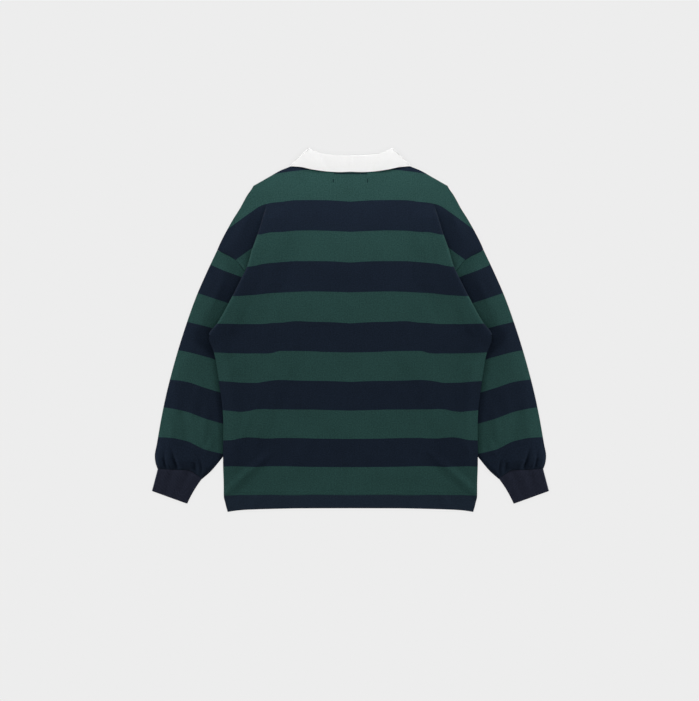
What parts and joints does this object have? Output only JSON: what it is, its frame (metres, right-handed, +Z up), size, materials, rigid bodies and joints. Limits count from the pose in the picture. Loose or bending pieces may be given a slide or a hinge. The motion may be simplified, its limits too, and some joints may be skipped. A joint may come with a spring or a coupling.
{
  "type": "rugby shirt laid flat",
  "caption": "Oversized long-sleeved rugby shirt with striped jersey, white twill collar and ribbed cuffs, laid flat with its back up.",
  "frame": {"origin": "on the surface under the middle of the shirt's length and width", "axes": "+X to the wearer's right sleeve, +Y from hem to collar, +Z up off the surface through the shirt's back"},
  "size_m": [0.8708, 0.799, 0.0103],
  "materials": {
    "striped_jersey": "heavy cotton jersey, dark green and navy stripes",
    "sleeve_jersey": "heavy cotton jersey, dark green and navy stripes",
    "navy_rib": "double rib knit",
    "white_twill": "cotton twill",
    "white_rubber": "matt"
  },
  "bodies": {
    "root": {"back_panel": "striped_jersey", "front_panel": "striped_jersey", "sleeve_left": "sleeve_jersey", "sleeve_right": "sleeve_jersey", "cuff_left": "navy_rib", "cuff_right": "navy_rib", "collar_leaf": "white_twill", "collar_stand": "white_twill", "placket": "white_twill", "button_1": "white_rubber", "button_2": "white_rubber", "button_3": "white_rubber"}
  },
  "joints": []
}
